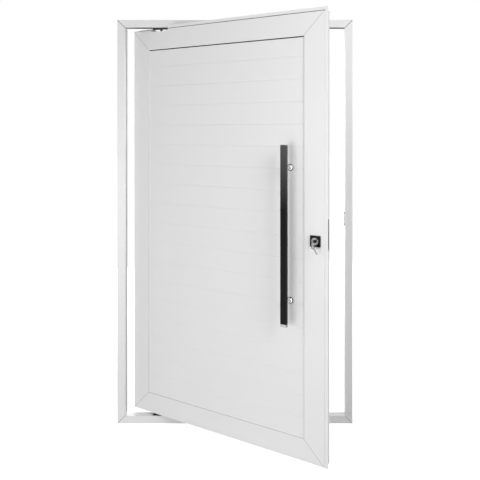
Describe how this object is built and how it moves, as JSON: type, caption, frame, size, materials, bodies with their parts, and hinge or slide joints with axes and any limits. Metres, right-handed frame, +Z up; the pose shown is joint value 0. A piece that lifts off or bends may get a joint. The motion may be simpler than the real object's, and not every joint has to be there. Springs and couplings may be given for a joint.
{
  "type": "pivot entry door",
  "caption": "White aluminium pivot entry door standing open in its slim frame, with a slatted infill, black bar handles, a square escutcheon and keys.",
  "frame": {"origin": "Middle of the sill's underside, halfway through the frame's depth.", "axes": "+X runs along the sill from the pivot side to the lock side, the front of the door faces -Y, and +Z is up."},
  "size_m": [1.224, 0.6165, 2.1],
  "materials": {
    "white_coat": "white powder coat, satin",
    "black_coat": "black gloss coat",
    "chrome_plate": "polished chrome",
    "dark_steel": "dark brushed steel",
    "nickel_silver": "worn nickel plate",
    "satin_metal": "turned steel"
  },
  "bodies": {
    "frame": {"sill": "white_coat", "jamb_right": "white_coat", "header": "white_coat", "jamb_left": "white_coat", "upper_pivot": "black_coat", "lower_pivot": "black_coat", "strike_plate": "dark_steel"},
    "leaf": {"stile_lock": "white_coat", "rail_top": "white_coat", "rail_bottom": "white_coat", "stile_pivot": "white_coat", "pivot_bush_top": "satin_metal", "pivot_bush_bottom": "satin_metal", "lip_front_right": "white_coat", "lip_front_top": "white_coat", "lip_back_left": "white_coat", "lip_back_top": "white_coat", "slats_odd": "white_coat", "slats_even": "white_coat", "bead_front_bottom": "white_coat", "bead_front_right": "white_coat", "bead_front_top": "white_coat", "bead_front_left": "white_coat", "bead_back_bottom": "white_coat", "bead_back_right": "white_coat", "bead_back_top": "white_coat", "bead_back_left": "white_coat", "lock_case": "satin_metal", "lock_faceplate": "dark_steel", "escutcheon_front": "black_coat", "escutcheon_back": "black_coat", "lock_cylinder": "dark_steel", "standoffs_front": "chrome_plate", "handle_front": "black_coat", "handle_cap_front": "chrome_plate", "standoffs_back": "chrome_plate", "handle_back": "black_coat", "handle_cap_back": "chrome_plate"},
    "key_set": {"key_plug": "dark_steel", "key": "nickel_silver", "key_ring": "chrome_plate", "spare_key": "nickel_silver"}
  },
  "joints": [
    {"name": "leaf_pivot", "type": "hinge", "parent": "frame", "child": "leaf", "pos_m": [-0.387, 0, 0.0475], "axis": [0, 0, -1], "range_deg": [-29, 61]},
    {"name": "key_turn", "type": "hinge", "parent": "leaf", "child": "key_set", "pos_m": [0.40715, -0.44021, 1.037], "axis": [-0.4848, -0.8746, 0], "range_deg": [-90, 270]}
  ]
}
